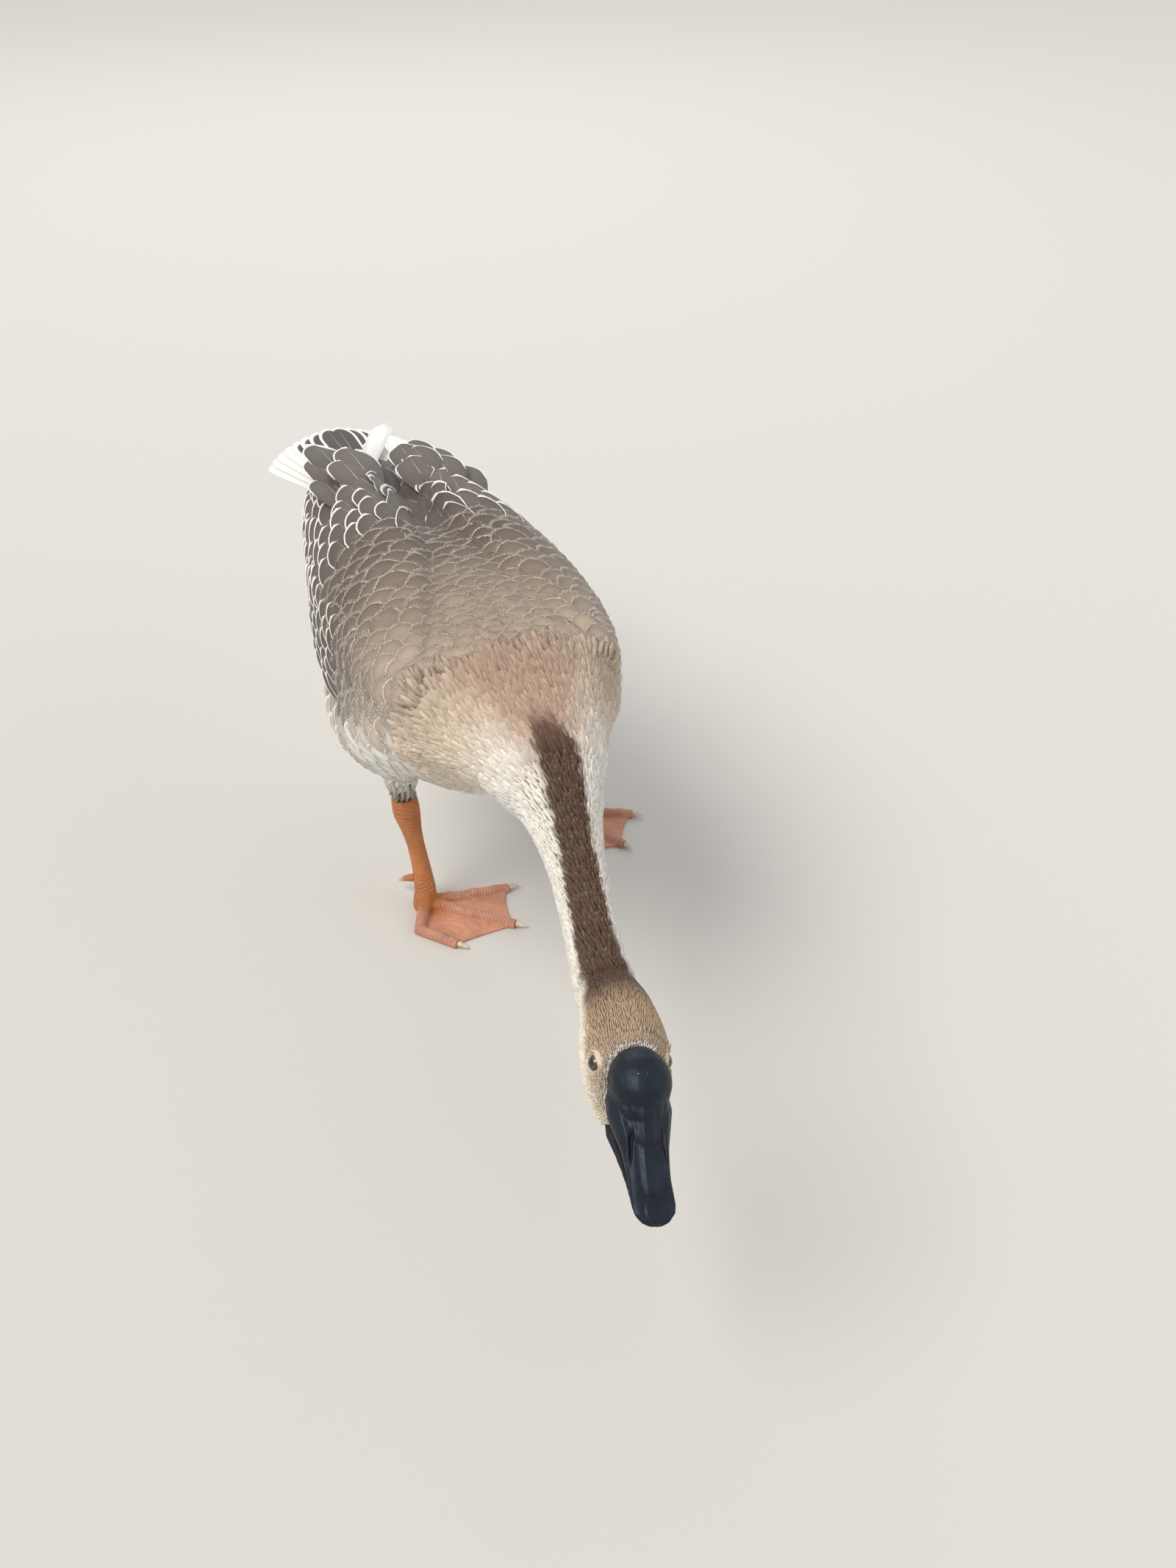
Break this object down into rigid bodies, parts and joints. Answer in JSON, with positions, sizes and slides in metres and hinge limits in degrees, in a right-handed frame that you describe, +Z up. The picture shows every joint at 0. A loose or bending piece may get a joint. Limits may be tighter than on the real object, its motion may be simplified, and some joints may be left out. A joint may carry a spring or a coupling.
{
  "type": "domestic goose",
  "caption": "Life-size domestic goose with a forehead knob, walking with its neck stretched out low, still, standing on two flat webbed feet.",
  "frame": {"origin": "on the floor, under the middle of the goose's box", "axes": "+Z up, -Y ahead along the bill, +X to the goose's left; +Y runs along the longest extent"},
  "size_m": [0.3162, 1.0486, 0.3611],
  "materials": {
    "feathers_brown": "soft small brown feathers of the crown and neck stripe",
    "feathers_cream": "soft fawn and cream body feathers",
    "feathers_grey": "smooth grey-brown feathers with pale edges",
    "feathers_white": "white feathers",
    "bill": "black horn with a satin shine",
    "eye": "wet dark brown",
    "leg": "scaly orange skin",
    "claw": "pale horn"
  },
  "bodies": {
    "root": {"bill_knob": "bill", "bill_lower": "bill", "bill_upper": "bill", "breast": "feathers_cream", "claw_hind_left": "claw", "claw_hind_right": "claw", "claw_inner_left": "claw", "claw_inner_right": "claw", "claw_middle_left": "claw", "claw_middle_right": "claw", "claw_outer_left": "claw", "claw_outer_right": "claw", "eye_left": "eye", "eye_right": "eye", "flank_left": "feathers_cream", "flank_right": "feathers_cream", "foot_left": "leg", "foot_right": "leg", "head": "feathers_brown", "hind_toe_left": "leg", "hind_toe_right": "leg", "neck_lower": "feathers_brown", "neck_upper": "feathers_brown", "shank_left": "leg", "shank_right": "leg", "tail": "feathers_white", "thigh_left": "feathers_grey", "thigh_right": "feathers_grey", "trunk": "feathers_cream", "wing_left": "feathers_grey", "wing_right": "feathers_grey", "wing_tip_left": "feathers_white", "wing_tip_right": "feathers_white"}
  },
  "joints": []
}
